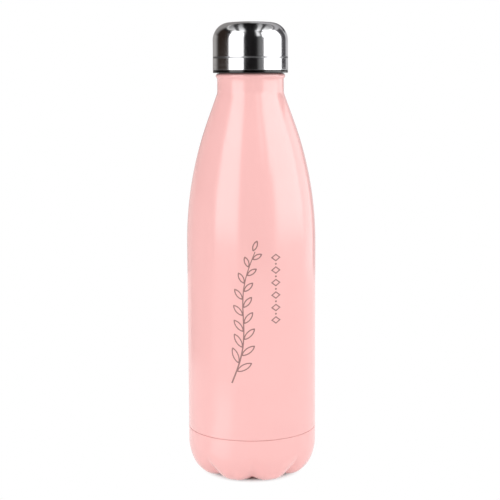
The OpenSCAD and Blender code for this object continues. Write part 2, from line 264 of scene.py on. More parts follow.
def laserMark():
    # Laser engraving: the coat is burnt off in close lines down to dull, slightly oxidised steel
    s = laser
    material, tree, shader = startMaterial("laserMarkedSteel")
    place = add(tree, "ShaderNodeTexCoord").outputs["Object"]
    along = 1 / (s["lineLength"] * mm)
    hatch = add(tree, "ShaderNodeMapping", Vector=place,
                Scale=(along, along, 1 / (s["lineStep"] * mm)))
    scan = add(tree, "ShaderNodeTexNoise", Vector=hatch.outputs[0], Scale=1.0, Detail=2.0)
    mix = add(tree, "ShaderNodeMix", colourMix,
              i0=scan.outputs["Fac"], i6=hexToLinear(s["colour"]), i7=hexToLinear(s["burnt"]))
    bump = add(tree, "ShaderNodeBump", Strength=s["depthStrength"], Distance=s["depth"] * mm,
               Height=scan.outputs["Fac"])
    feed(tree, shader, Base_Color=mix.outputs[2], Metallic=s["metallic"], Roughness=s["roughness"],
         Normal=bump.outputs[0])
    return material


steelSheet = {
    "colour": "#E4E4E6",
    "drawMarks": 5.0,        # mm, width of the marks that drawing leaves on the rounding
    "drawReach": 6.0,        # mm above the start of the rounding, where they are in full
    "hairWidth": 0.35,       # mm, buffing lines, drawn as coarse as they can still be seen
    "hairLength": 12.0,      # mm
    "hairWeight": 0.02,      # against the marks
    "reliefDepth": 0.15,     # mm
    "reliefStrength": 0.6,
    "smoothest": 0.1,
    "roughest": 0.17,
    # painted shade: along the rolled line the steel is painted darker, for the shade in the groove,
    # and is also rougher
    "dullAndShadeWidth": 0.9,        # mm to each side of the rolled line
    "grooveShadeColour": "#747476",
    "dullRoughness": 0.35,
}


def mirrorSteel():
    # Stainless steel, deep drawn and buffed to a mirror: true on the side, and wavy on the
    # rounding, where the press stretched it
    s = steelSheet
    material, tree, shader = startMaterial("buffedStainlessSteel")
    place = add(tree, "ShaderNodeTexCoord").outputs["Object"]
    split = add(tree, "ShaderNodeSeparateXYZ", Vector=place)
    rounding = add(tree, "ShaderNodeMapRange", smoothStep, Value=split.outputs["Z"],
                   From_Min=cornerCentreZ * mm, From_Max=(cornerCentreZ + s["drawReach"]) * mm)
    wave = add(tree, "ShaderNodeTexNoise", Vector=place,
               Scale=1 / (s["drawMarks"] * mm), Detail=1.0)
    drawn = add(tree, "ShaderNodeMath", multiply, i0=wave.outputs["Fac"], i1=rounding.outputs[0])
    across = 1 / (s["hairWidth"] * mm)
    upright = add(tree, "ShaderNodeMapping", Vector=place,
                  Scale=(across, across, 1 / (s["hairLength"] * mm)))
    hair = add(tree, "ShaderNodeTexNoise", Vector=upright.outputs[0], Scale=1.0, Detail=2.0)
    relief = add(tree, "ShaderNodeMath", {"operation": "MULTIPLY_ADD"},
                 i0=hair.outputs["Fac"], i1=s["hairWeight"], i2=drawn.outputs[0])
    bump = add(tree, "ShaderNodeBump", Strength=s["reliefStrength"],
               Distance=s["reliefDepth"] * mm, Height=relief.outputs[0])
    smear = add(tree, "ShaderNodeMapRange", Value=hair.outputs["Fac"],
                To_Min=s["smoothest"], To_Max=s["roughest"])
    # the rolled line is too narrow to be buffed to its bottom, so it stays rougher there; its steel
    # is also painted darker there, a painted shade that stands in for the shade in the groove
    offLine = add(tree, "ShaderNodeMath", {"operation": "SUBTRACT"},
                  i0=split.outputs["Z"], i1=(capRimZ + cap["bandHeight"]) * mm)
    away = add(tree, "ShaderNodeMath", {"operation": "ABSOLUTE"}, i0=offLine.outputs[0])
    dullShadeMask = add(tree, "ShaderNodeMapRange", smoothStep,
               Value=away.outputs[0], From_Min=s["dullAndShadeWidth"] * mm, From_Max=0.0)
    rough = add(tree, "ShaderNodeMapRange", Value=dullShadeMask.outputs[0],
                To_Min=smear.outputs[0], To_Max=s["dullRoughness"])
    # painted shade: the steel colour turns darker in the rolled line
    tone = add(tree, "ShaderNodeMix", colourMix, i0=dullShadeMask.outputs[0],
               i6=hexToLinear(s["colour"]), i7=hexToLinear(s["grooveShadeColour"]))
    feed(tree, shader, Base_Color=tone.outputs[2], Metallic=1.0,
         Roughness=rough.outputs[0], Normal=bump.outputs[0])
    return material


turnedSheet = {
    "colour": "#C9C8C5",
    "lineHeight": 0.35,      # mm, turning lines, drawn as coarse as they can still be seen
    "alongScale": 60.0,      # how often a line changes along a metre of its way
    "lineDepth": 0.04,       # mm
    "lineStrength": 0.2,
    "smoothest": 0.22,
    "roughest": 0.36,
}


def spunSteel():
    # Stainless steel, rolled and spun: fine turning lines run round it
    s = turnedSheet
    material, tree, shader = startMaterial("spunStainlessSteel")
    place = add(tree, "ShaderNodeTexCoord").outputs["Object"]
    rings = add(tree, "ShaderNodeMapping", Vector=place,
                Scale=(s["alongScale"], s["alongScale"], 1 / (s["lineHeight"] * mm)))
    turning = add(tree, "ShaderNodeTexNoise", Vector=rings.outputs[0], Scale=1.0, Detail=3.0)
    bump = add(tree, "ShaderNodeBump", Strength=s["lineStrength"], Distance=s["lineDepth"] * mm,
               Height=turning.outputs["Fac"])
    smear = add(tree, "ShaderNodeMapRange", Value=turning.outputs["Fac"],
                To_Min=s["smoothest"], To_Max=s["roughest"])
    feed(tree, shader, Base_Color=hexToLinear(s["colour"]), Metallic=1.0,
         Roughness=smear.outputs[0], Normal=bump.outputs[0])
    return material


grainDepth = 0.05            # mm, of a grain at full strength


def grainyFinish(name, colour, fleckColour, grain, strength, **surface):
    # an even skin with a grain of the given size in mm, in two close colours
    material, tree, shader = startMaterial(name)
    place = add(tree, "ShaderNodeTexCoord").outputs["Object"]
    skin = add(tree, "ShaderNodeTexNoise", Vector=place, Scale=1 / (grain * mm), Detail=3.0)
    mix = add(tree, "ShaderNodeMix", colourMix,
              i0=skin.outputs["Fac"], i6=hexToLinear(colour), i7=hexToLinear(fleckColour))
    bump = add(tree, "ShaderNodeBump", Strength=strength, Distance=grainDepth * mm,
               Height=skin.outputs["Fac"])
    feed(tree, shader, Base_Color=mix.outputs[2], Normal=bump.outputs[0], **surface)
    return material


paintFinish = powderCoat()
markFinish = laserMark()
steelFinish = spunSteel()
# injection-moulded black polypropylene: smooth, with a waxy shine
blackPlastic = grainyFinish("blackPolypropylene", "#030303", "#060506", grain=0.6, strength=0.05,
                            Roughness=0.09, IOR=1.46)
# the same plastic without its colour: milky and duller
palePlastic = grainyFinish("naturalPolypropylene", "#E4E1DA", "#DAD6CD", grain=0.8, strength=0.15,
                           Roughness=0.45, IOR=1.49)
# compression-moulded silicone rubber: soft, dull and a little cloudy
silicone = grainyFinish("mouldedSilicone", "#DEDDD8", "#D2D1CB", grain=0.5, strength=0.15,
                        Roughness=0.6, IOR=1.41)
# rolled copper foil: bright, with the dull blush of handling
copperFoil = grainyFinish("rolledCopperFoil", "#D89A72", "#C27E55", grain=6.0, strength=0.3,
                          Metallic=1.0, Roughness=0.28)
# sintered zirconium alloy: a pressed pill of dark metal grains
getterAlloy = grainyFinish("sinteredZirconiumAlloy", "#6E6D70", "#4E4D50", grain=0.25, strength=0.8,
                           Metallic=0.7, Roughness=0.7)
# melted glass solder: a glassy bead, greenish grey
solderGlass = grainyFinish("solderGlass", "#8C9A86", "#7A8874", grain=1.5, strength=0.1,
                           Roughness=0.12, IOR=1.6)
# expanded polyethylene foam: fine closed cells
packingFoam = grainyFinish("polyethyleneFoam", "#F1EFE8", "#E2DFD6", grain=0.7, strength=0.8,
                           Roughness=0.85)
print("materials made")


# Driving sizes of the outer wall in mm, the same as the CAD wall
shell = {
    "bodyR": 36.0,
    "shoulderStart": 130.7,  # where the straight side ends
    "shoulderR": 197.7,
    "leanDeg": 19.95,        # of the straight part of the shoulder
    "neckR": 18.4,
    "blendR": 8.2,           # from the shoulder into the neck
    "neckHeight": 6.2,
    "collarOut": 0.8,
    "collarHeight": 3.0,
    "collarFillet": 0.35,    # height of the fillet where the collar is rolled out of the neck
    "collarFromDeg": 9.0,    # how far up its round the collar starts
    "collarStep": 0.25,      # how far the paint reaches in from the collar, and out from the finish
    "collarRise": 0.2,       # and how far it climbs between the two
    "wall": 0.5,
    "seamZ": 26.0,
    "seamGap": 0.25,
    "edgeR": 0.18,           # rounding of both edges of the seam
    "finishR": 16.75,
    "finishFrom": 0.1,       # above the collar, where the bare metal starts
    "finishHeight": 19.4,
    "lipR": 0.8,
    "lipFillet": 0.5,        # inside, under the lip
    "mouthR": 14.05,
    "linerWall": 0.4,
    "linerSlip": 0.05,
}
lean = math.radians(shell["leanDeg"])
shoulderCentreR = shell["bodyR"] - shell["shoulderR"]
straightLength = (shoulderCentreR + shell["shoulderR"] * math.cos(lean)
                  - shell["blendR"] * (1 - math.cos(lean)) - shell["neckR"]) / math.sin(lean)
neckStart = (shell["shoulderStart"] + (shell["shoulderR"] + shell["blendR"]) * math.sin(lean)
             + straightLength * math.cos(lean))
collarZ = neckStart + shell["neckHeight"]
collarTop = collarZ + shell["collarHeight"]
lipZ = collarTop + shell["finishHeight"]


def makePaintedShell():
    # outer wall from the seam up to the collar, where the paint ends
    s = shell
    bottom = s["seamZ"] + s["seamGap"] / 2
    edge = s["edgeR"]
    bead = s["collarHeight"] / 2
    beadCentreR = s["neckR"] + s["collarOut"] - bead
    beadDeg = math.degrees(math.acos((s["neckR"] - beadCentreR) / bead))
    outside = [(s["bodyR"] - s["wall"], bottom)]
    outside += arc(s["bodyR"] - edge, bottom + edge, edge, -90, 0, 5)
    outside += line(outside[-1], (s["bodyR"], s["shoulderStart"]), 10)
    outside += arc(shoulderCentreR, s["shoulderStart"], s["shoulderR"], 0, s["leanDeg"], 30)[1:]
    blend = arc(s["neckR"] + s["blendR"], neckStart, s["blendR"], 180 + s["leanDeg"], 180, 8)
    outside += line(outside[-1], blend[0], 5) + blend[1:]
    outside += line(blend[-1], (s["neckR"], collarZ - s["collarFillet"]), 3)
    outside += arc(beadCentreR, collarZ + bead, bead, s["collarFromDeg"] - beadDeg, beadDeg, 12)
    brim = collarTop + s["collarRise"]
    outside += [(s["neckR"] - s["collarStep"], collarTop), (s["finishR"] + s["collarStep"], brim)]
    inner = [(s["finishR"] - s["wall"], brim), (s["neckR"] - s["wall"], collarZ + bead)]
    inner += arc(s["neckR"] + s["blendR"], neckStart, s["blendR"] + s["wall"],
                 180, 180 + s["leanDeg"], 4)
    inner += arc(shoulderCentreR, s["shoulderStart"], s["shoulderR"] - s["wall"],
                 s["leanDeg"], 0, 10)
    piece = turned("painted_shell", outside + inner + [outside[0]])
    finished(piece, paintFinish, "bottle", ["outer_shell"])


threadForm = {
    "pitch": 4.0,
    "turns": 1.75,
    "height": 1.1,
    "rootWidth": 2.3,
    "crestShare": 0.3,       # share of that width which is flat on top
    "firstZ": 7.6,           # height of the first ridge above the collar
    "fadeDeg": 40.0,         # over which a ridge runs out at each end
    "lidDrop": 1.52,         # how far the lid's ridge lies below the neck's
    "rows": 84,              # rows of points along the wall that carries a ridge
}


def ridge(azimuth, height, startZ):
    # Share of the full ridge height at a place: 1 on the crest line of the helix, 0 away from it.
    # The helix climbs anticlockwise seen from above, from the +X side.
    t = threadForm
    turn = math.degrees(azimuth) - 90
    best = 0.0
    for lap in range(-1, 3):
        along = turn + 360 * lap
        if -t["fadeDeg"] < along < t["turns"] * 360 + t["fadeDeg"]:
            away = abs(height - startZ - t["pitch"] * along / 360) / (t["rootWidth"] / 2)
            if away < 1:
                ends = min(1, (along + t["fadeDeg"]) / t["fadeDeg"],
                           (t["turns"] * 360 + t["fadeDeg"] - along) / t["fadeDeg"])
                flank = max(0, away - t["crestShare"]) / (1 - t["crestShare"])
                crest = 0.5 + 0.5 * math.cos(math.pi * flank)
                best = max(best, crest * (0.5 - 0.5 * math.cos(math.pi * ends)))
    return best


def makeBareFinish():
    # rolled steel thread and lip above the collar, left unpainted
    s, t = shell, threadForm
    start = (s["finishR"], collarTop + s["finishFrom"])
    insideR = s["finishR"] - s["wall"]
    outside = [(insideR, start[1]), start]
    outside += line(start, (s["finishR"], lipZ - s["lipR"]), t["rows"])
    outside += arc(s["finishR"] - s["lipR"], lipZ - s["lipR"], s["lipR"], 0, 90, 6)[1:]
    holeR = s["mouthR"] + s["linerWall"] + s["linerSlip"]
    under = lipZ - s["wall"]
    inner = [(holeR, lipZ), (holeR, under),
             (insideR - s["lipFillet"], under), (insideR, under - s["lipFillet"])]
    piece = turned("bare_finish", outside + inner + [outside[0]])

    def rolled(azimuth, radius, height):
        onSkin = radius > s["finishR"] - onSurface
        out = t["height"] * ridge(azimuth, height, collarTop + t["firstZ"]) if onSkin else 0
        return radius + out, height

    shapeBy(piece, rolled)
    finished(piece, steelFinish, "bottle", ["outer_shell"])


makePaintedShell()
makeBareFinish()


foot = {
    "lobes": 8,
    "around": 384,           # points round it, enough for sharp creases
    "footR": 23.0,
    "curveHeight": 17.0,
    "land": 2.0,
    "valleyDepth": 5.2,
    "valleyEnd": 0.44,       # share of that depth left at the land
    "lobeWidth": 0.94,       # share of the way across in which a valley falls
    "creaseRound": 0.06,     # rounding of its bottom, as such a share
    "flankPower": 1.2,       # above 1 the flanks are hollow
    "startPower": 1.2,       # how soon a valley deepens below the straight side
    "endPower": 6.0,         # how late it grows shallow again towards the land
    "hollowPower": 1.5,      # how fast it dies away under the foot
    "hollowHeight": 7.0,
    "hubR": 6.9,
    "centreR": 0.4,          # last ring before the middle
    "spigotHeight": 4.0,
    "slip": 0.05,
}


def valley(azimuth):
    # near 1 in the crease of a valley, 0 on the flat of a lobe; a valley faces the front
    across = math.hypot(math.sin(foot["lobes"] * azimuth / 2), foot["creaseRound"])
    return max(0, 1 - across / foot["lobeWidth"]) ** foot["flankPower"]


def makeFoot():
    # turned as a round cup with a hollow below, then its valleys are pressed in
    s, f = shell, foot
    rim = s["seamZ"] - s["seamGap"] / 2
    edge = s["edgeR"]
    spigotR = s["bodyR"] - s["wall"] - f["slip"]
    outline = [(spigotR, rim + f["spigotHeight"]), (spigotR, rim)]
    outline += arc(s["bodyR"] - edge, rim - edge, edge, 90, 0, 5)
    outline += line(outline[-1], (s["bodyR"], f["curveHeight"]), 4)
    reach = s["bodyR"] - f["footR"]
    curveSteps, hollowSteps = 30, 14
    for i in range(1, curveSteps + 1):
        t = math.pi / 2 * i / curveSteps
        outline.append((f["footR"] + reach * math.cos(t), f["curveHeight"] * (1 - math.sin(t))))
    innerR = f["footR"] - f["land"]
    outline += [(f["footR"] - f["land"] / 2, 0), (innerR, 0)]
    for i in range(1, hollowSteps + 1):
        up = i / hollowSteps
        outline.append((innerR + (f["hubR"] - innerR) * up,
                        f["hollowHeight"] * (1 - math.cos(math.pi * up)) / 2))
    outline += [(f["hubR"] / 2, f["hollowHeight"]), (f["centreR"], f["hollowHeight"])]
    piece = turned("lobed_foot", outline, around=f["around"], closed=False)

    def pressed(azimuth, radius, height):
        if height > f["curveHeight"] or radius < f["centreR"] + onSurface:
            return radius, height
        deep = f["valleyDepth"] * valley(azimuth)
        if radius > f["footR"] - onSurface:
            t = math.asin(max(0, min(1, 1 - height / f["curveHeight"])))
            shallow = (1 - f["valleyEnd"]) * math.sin(t) ** f["endPower"]
            deep *= math.sin(t) ** f["startPower"] * (1 - shallow)
            return radius - deep * math.cos(t), height + deep * math.sin(t)
        up = min(1, max(0, (innerR - radius) / (innerR - f["hubR"])))
        return radius, height + deep * f["valleyEnd"] * (1 - up) ** f["hollowPower"]

    shapeBy(piece, pressed)
    finished(piece, paintFinish, "bottle", ["petal_base"])


makeFoot()


# Engraving on the front, in mm: x round the body from the front line, z up from the table
sprig = {
    "footX": -11.0,
    "footZ": 58.0,
    "tipX": 2.0,
    "tipZ": 130.0,
    "sway": 2.6,             # how far the stem swings off its straight line
    "stemWidth": 0.85,
    "lineWidth": 0.62,
    "stemTaper": 0.45,       # share of its width that the stem loses towards the tip
    "leaves": 15,
    "firstLeaf": 0.09,       # place of the lowest leaf, as a share of the stem
    "leafSpan": 0.85,        # share of the stem that carries leaves
    "leafLength": 10.0,
    "leafWidth": 3.6,
    "lengthTaper": 0.42,
    "widthTaper": 0.25,
    "leafLeanDeg": 40.0,
    "leafGap": 0.2,          # between the stem and a leaf
    "tipLine": 1.6,          # how much broader a leaf's line is at its two points
    "topLength": 0.62,       # the leaf at the tip, as shares of the lowest one
    "topWidth": 0.75,
    "proud": 0.02,
    "depth": 0.08,
}
lozenges = {
    "x": 13.4,
    "fromZ": 92.5,
    "toZ": 126.5,
    "count": 6,
    "width": 5.6,
    "height": 4.2,
    "lineWidth": 0.8,
    "lineSlope": 2.6,        # the line's width, both sides, over its width along x
    "dotR": 0.55,
    "dotSteps": 12,
    "dotHole": 0.02,         # share of a dot that stays open at its middle
}


def stemPoint(t):
    # place on the stem's middle line, from 0 at its foot to 1 at its tip
    s = sprig
    return (s["footX"] + (s["tipX"] - s["footX"]) * t + s["sway"] * math.sin(2 * math.pi * t),
            s["footZ"] + (s["tipZ"] - s["footZ"]) * t)


def stemLean(t):
    # direction of the stem at t, from the x axis
    near = 0.01
    (x0, z0), (x1, z1) = stemPoint(t - near), stemPoint(t + near)
    return math.atan2(z1 - z0, x1 - x0)


def flatRing(points, innerX, innerY):
    # an outline drawn flat, and a line of it: the rim between it and its scaled copy
    deselectAll()
    bpy.ops.mesh.primitive_circle_add(vertices=len(points), radius=1)
    ring = bpy.context.object
    for vertex, (x, y) in zip(ring.data.vertices, points):
        vertex.co = (x, y, 0)
    bpy.ops.object.mode_set(mode="EDIT")
    bpy.ops.mesh.select_all(action="SELECT")
    bpy.ops.mesh.extrude_region_move(TRANSFORM_OT_translate={"value": (0, 0, 0)})
    bpy.ops.transform.resize(value=(innerX, innerY, 1), center_override=(0, 0, 0))
    bpy.ops.object.mode_set(mode="OBJECT")
    return ring


def leafRing(length, width, lineWidth):
    # a pointed leaf in outline
    steps = 40
    points = []
    for i in range(steps):
        a = 2 * math.pi * i / steps
        points.append((length / 2 * math.cos(a),
                       width / 2 * math.sin(a) * math.sqrt(abs(math.sin(a)))))
    tipLine = sprig["tipLine"] * lineWidth
    return flatRing(points, 1 - 2 * tipLine / length, 1 - 2 * lineWidth / width)


def layAt(part, x, z, a):
    # turns a flat part by an angle and puts it at its place on the unrolled surface
    for vertex in part.data.vertices:
        u, v, _ = vertex.co
        vertex.co = (x + u * math.cos(a) - v * math.sin(a),
                     z + u * math.sin(a) + v * math.cos(a), 0)


def turnOutwards(piece):
    # flips each face that looks towards the axis
    selectFaces(piece, lambda face: (face.normal.x * face.center.x
                                     + face.normal.y * face.center.y) < 0)
    bpy.ops.mesh.flip_normals()
    bpy.ops.object.mode_set(mode="OBJECT")


def engrave(parts, name):
    # joins flat parts, wraps them round the body and gives them a little depth
    deselectAll()
    for part in parts:
        part.select_set(True)
    bpy.context.view_layer.objects.active = parts[0]
    bpy.ops.object.join()
    piece = parts[0]
    radius = shell["bodyR"] + sprig["proud"]
    for vertex in piece.data.vertices:
        x, z, _ = vertex.co
        a = x / shell["bodyR"]
        vertex.co = Vector((radius * math.sin(a), -radius * math.cos(a), z)) * mm
    bpy.ops.object.mode_set(mode="EDIT")
    bpy.ops.mesh.select_all(action="SELECT")
    bpy.ops.mesh.normals_make_consistent(inside=False)
    bpy.ops.object.mode_set(mode="OBJECT")
    turnOutwards(piece)
    piece.name = name
    piece.data.name = name
    solidify(piece, sprig["depth"])
    finished(piece, markFinish, "bottle")


def makeSprig():
    # a swaying stem with open leaves by turns left and right, and one at its tip
    s = sprig
    deselectAll()
    bpy.ops.mesh.primitive_grid_add(x_subdivisions=2, y_subdivisions=90, size=1)
    stem = bpy.context.object
    for vertex in stem.data.vertices:
        t = vertex.co.y + 0.5
        x, z = stemPoint(t)
        across = stemLean(t) - math.pi / 2
        half = vertex.co.x * s["stemWidth"] * (1 - s["stemTaper"] * t)
        vertex.co = (x + half * math.cos(across), z + half * math.sin(across), 0)
    parts = [stem]
    for i in range(s["leaves"]):
        t = s["firstLeaf"] + s["leafSpan"] * i / (s["leaves"] - 1)
        side = 1 if i % 2 else -1
        length = s["leafLength"] * (1 - s["lengthTaper"] * t)
        leaf = leafRing(length, s["leafWidth"] * (1 - s["widthTaper"] * t), s["lineWidth"])
        angle = stemLean(t) + side * math.radians(s["leafLeanDeg"])
        x, z = stemPoint(t)
        reach = length / 2 + s["leafGap"]
        layAt(leaf, x + reach * math.cos(angle), z + reach * math.sin(angle), angle)
        parts.append(leaf)
    length = s["leafLength"] * s["topLength"]
    topLeaf = leafRing(length, s["leafWidth"] * s["topWidth"], s["lineWidth"])
    x, z = stemPoint(1)
    layAt(topLeaf, x, z + length / 2, stemLean(1))
    parts.append(topLeaf)
    engrave(parts, "engraved_sprig")


def makeLozenges():
    # open lozenges one above the other, with a dot between each two
    s = lozenges
    halfX, halfZ = s["width"] / 2, s["height"] / 2
    corners = [(halfX, 0), (0, halfZ), (-halfX, 0), (0, -halfZ)]
    outline = []
    for start, end in zip(corners, corners[1:] + corners[:1]):
        outline += [start] + line(start, end, 5)[:-1]
    inner = 1 - s["lineSlope"] * s["lineWidth"] / s["width"]
    turns = [2 * math.pi * k / s["dotSteps"] for k in range(s["dotSteps"])]
    dot = [(s["dotR"] * math.cos(a), s["dotR"] * math.sin(a)) for a in turns]
    parts = []
    step = (s["toZ"] - s["fromZ"]) / (s["count"] - 1)
    for i in range(s["count"]):
        lozenge = flatRing(outline, inner, inner)
        layAt(lozenge, s["x"], s["fromZ"] + step * i, 0)
        parts.append(lozenge)
        if i:
            bead = flatRing(dot, s["dotHole"], s["dotHole"])
            layAt(bead, s["x"], s["fromZ"] + step * (i - 0.5), 0)
            parts.append(bead)
    engrave(parts, "engraved_lozenges")


makeSprig()
makeLozenges()


# Driving sizes of the cap in mm, the same as the CAD cap
cap = {
    "ringGap": 0.15,
    "ringHeight": 1.6,
    "ringEdge": 0.3,
    "slip": 0.05,
    "height": 26.5,
    "radius": 20.75,
    "cornerR": 9.6,
    "crownR": 130.0,
    "wall": 0.5,
    "coverWall": 0.45,       # as drawn here, clear of the lid under it
    "bandHeight": 6.8,       # from the rim up to the rolled line
    "bandOut": 0.05,
    "lineWidth": 0.5,
    "grooveDepth": 0.02,
    "grooveFrom": -0.04,     # bottom of the line's groove, from its middle
    "grooveTo": 0.02,
    "grooveEnd": 0.09,
    "rimEdge": 0.04,
    "rimLoop": 0.1,          # the loops that keep the long faces' shading flat, from each edge
    "lineLoop": 0.06,
    "creaseZ": 2.1,          # a faint crease above the rim, where the sheet was trued
    "creaseReach": 0.3,
    "creaseDepth": 0.008,
    "centreR": 0.25,         # last ring before the middle of the crown
    "boreR": 18.25,
    "gasketT": 1.6,
    "ceilingT": 2.0,
    "plugR": 13.45,
    "bossStep": 2.3,
}
ringZ = collarTop + cap["ringGap"]
capRimZ = ringZ + cap["ringHeight"] + cap["slip"]
capTopZ = capRimZ + cap["height"]
cornerCentreR = cap["radius"] - cap["cornerR"]
cornerCentreZ = (capTopZ - cap["crownR"]
                 + math.sqrt((cap["crownR"] - cap["cornerR"]) ** 2 - cornerCentreR ** 2))
crownDeg = math.degrees(math.asin(cornerCentreR / (cap["crownR"] - cap["cornerR"])))
capFinish = mirrorSteel()


def openRim(piece, rimZ):
    # takes out the face that closed the bottom rim
    selectFaces(piece, lambda face: len(face.vertices) > 4
                and abs(face.center.z - rimZ * mm) < onSurface * mm)
    bpy.ops.mesh.delete(type="ONLY_FACE")
    bpy.ops.object.mode_set(mode="OBJECT")


def makeCapCover():
    # drawn steel cover: a band up to the rolled line, the side, the rounding and a low crown
    c = cap
    lineZ = capRimZ + c["bandHeight"]
    creaseZ = capRimZ + c["creaseZ"]
    bandR = c["radius"] + c["bandOut"]
    bandTop = lineZ - c["lineWidth"] / 2
    outline = [(c["radius"] - c["wall"], capRimZ)]
    outline += arc(bandR - c["rimEdge"], capRimZ + c["rimEdge"], c["rimEdge"], -90, 0, 5)
    outline += [(bandR, capRimZ + c["rimLoop"])]
    outline += line(outline[-1], (bandR, creaseZ - c["creaseReach"]), 2)
    outline += [(bandR - c["creaseDepth"], creaseZ), (bandR, creaseZ + c["creaseReach"])]
    outline += line(outline[-1], (bandR, bandTop - c["lineLoop"]), 3)
    outline += [(bandR, bandTop)]
    grooveR = c["radius"] - c["grooveDepth"]
    grooveEnd = lineZ + c["grooveEnd"]
    outline += [(grooveR, lineZ + c["grooveFrom"]), (grooveR, lineZ + c["grooveTo"])]
    outline += [(c["radius"], grooveEnd), (c["radius"], grooveEnd + c["lineLoop"])]
    outline += line(outline[-1], (c["radius"], cornerCentreZ), 6)
    outline += arc(cornerCentreR, cornerCentreZ, c["cornerR"], 0, 90 - crownDeg, 28)[1:]
    outline += arc(0, capTopZ - c["crownR"], c["crownR"], 90 - crownDeg, 90, 10)[1:-1]
    outline.append((c["centreR"], capTopZ))
    piece = turned("cap_cover", outline, closed=False)
    openRim(piece, capRimZ)
    solidify(piece, c["coverWall"])
    finished(piece, capFinish, "cap", ["cap_shell"])


def makeLid():
    # moulded lid body: the ring that shows under the steel, the threaded skirt and the ceiling
    c, t = cap, threadForm
    edge = c["ringEdge"]
    sideR = c["radius"] - c["wall"] - c["slip"]
    ringTop = capRimZ - c["slip"]
    ceilingZ = lipZ + c["gasketT"] + 2 * c["ringGap"]
    ceilingTop = ceilingZ + c["ceilingT"]
    cornerR = c["cornerR"] - c["wall"] - c["slip"]
    topDeg = math.degrees(math.asin((ceilingTop - cornerCentreZ) / cornerR))
    bossR = c["plugR"] - c["bossStep"] + c["slip"]
    outline = [(c["boreR"] + edge, ringZ)]
    outline += arc(c["radius"] - edge, ringZ + edge, edge, -90, 0, 5)
    outline += line(outline[-1], (c["radius"], ringTop), 2)
    outline += [(sideR, ringTop)]
    outline += arc(cornerCentreR, cornerCentreZ, cornerR, 0, topDeg, 8)
    outline += [(bossR, ceilingTop), (bossR, ceilingZ), (c["boreR"], ceilingZ)]
    outline += line((c["boreR"], ceilingZ), (c["boreR"], ringZ + edge), t["rows"])
    piece = turned("black_lid", outline + [outline[0]])

    def rolled(azimuth, radius, height):
        onBore = abs(radius - c["boreR"]) < onSurface
        start = collarTop + t["firstZ"] - t["lidDrop"]
        inward = t["height"] * ridge(azimuth, height, start) if onBore else 0
        return radius - inward, height

    shapeBy(piece, rolled)
    finished(piece, blackPlastic, "cap", ["lid_body"])


makeCapCover()
makeLid()

# Inner parts keep the shape they were loaded with and get their finish
innerFinishes = {
    "plug_cup": palePlastic,
    "foam_core": packingFoam,
    "lip_gasket": silicone,
    "liner": steelFinish,
    "liner_base": steelFinish,
    "vacuum_base": steelFinish,
    "getter_holder": steelFinish,
    "copper_foil": copperFoil,
    "getter": getterAlloy,
    "vacuum_seal": solderGlass,
}
for nodeName, finish in innerFinishes.items():
    nodes[nodeName].data.materials.clear()
    nodes[nodeName].data.materials.append(finish)
print("bottle and cap made")


studio = {
    "floorSize": 6000.0,
    "floorColour": "#FDFCFC",
    "floorRoughness": 0.7,
    "contactR": 19.5,        # inside this the floor keeps all of the shadow
    "clearR": 29.0,          # beyond this it is plain white
    "ambient": 0.82,         # of the world where it lights
}


def makeFloor():
    # a matt white table that the eye and gloss see as plain white, but for the shadow at the foot
    s = studio
    deselectAll()
    bpy.ops.mesh.primitive_plane_add(size=s["floorSize"] * mm, location=(0, 0, 0))
    floor = bpy.context.object
    floor.name = "floor"
    material, tree, shader = startMaterial("matteWhiteTable")
    feed(tree, shader, Base_Color=hexToLinear(s["floorColour"]), Roughness=s["floorRoughness"])
    white = add(tree, "ShaderNodeEmission", Color=(1, 1, 1, 1), Strength=1.0)
    seen = add(tree, "ShaderNodeLightPath")
    direct = add(tree, "ShaderNodeMath", {"operation": "MAXIMUM"},
                 i0=seen.outputs["Is Camera Ray"], i1=seen.outputs["Is Glossy Ray"])
    place = add(tree, "ShaderNodeTexCoord").outputs["Object"]
    away = add(tree, "ShaderNodeVectorMath", {"operation": "LENGTH"}, i0=place)
    fade = add(tree, "ShaderNodeMapRange", smoothStep,
               Value=away.outputs["Value"], From_Min=s["contactR"] * mm, From_Max=s["clearR"] * mm)
    share = add(tree, "ShaderNodeMath", multiply, i0=direct.outputs[0], i1=fade.outputs[0])
    blend = add(tree, "ShaderNodeMixShader",
                i0=share.outputs[0], i1=shader.outputs[0], i2=white.outputs[0])
    tree.links.new(blend.outputs[0], tree.nodes["Material Output"].inputs["Surface"])
    floor.data.materials.append(material)


def makeWorld():
    # white where it is seen, and a little dimmer where it lights
    world = bpy.data.worlds.new("studio")
    bpy.context.scene.world = world
    world.use_nodes = True
    tree = world.node_tree
    background = tree.nodes["Background"]
    seen = add(tree, "ShaderNodeLightPath")
    shown = add(tree, "ShaderNodeMath", {"operation": "MAXIMUM"},
                i0=seen.outputs["Is Camera Ray"], i1=seen.outputs["Is Glossy Ray"])
    shownToo = add(tree, "ShaderNodeMath", {"operation": "MAXIMUM"},
                   i0=shown.outputs[0], i1=seen.outputs["Is Transmission Ray"])
    strength = add(tree, "ShaderNodeMapRange", Value=shownToo.outputs[0],
                   To_Min=studio["ambient"], To_Max=1.0)
    feed(tree, background, Color=(1, 1, 1, 1), Strength=strength.outputs[0])


# A light tent that only gloss sees: dark cloth all round and overhead, with glowing panels on it.
tent = {
    "wallR": 760.0,
    "roofHeight": 1150.0,
    "cloth": "#141213",
    "hang": 14.0,            # how far the panels hang in front of the cloth
    "layer": 0.2,            # share of that between one wall panel and the next
    "columnDeg": 4.0,        # a bent panel has a column of faces for each such step
    "cardLift": 1.5,         # how far the cards on the table lie above it
}
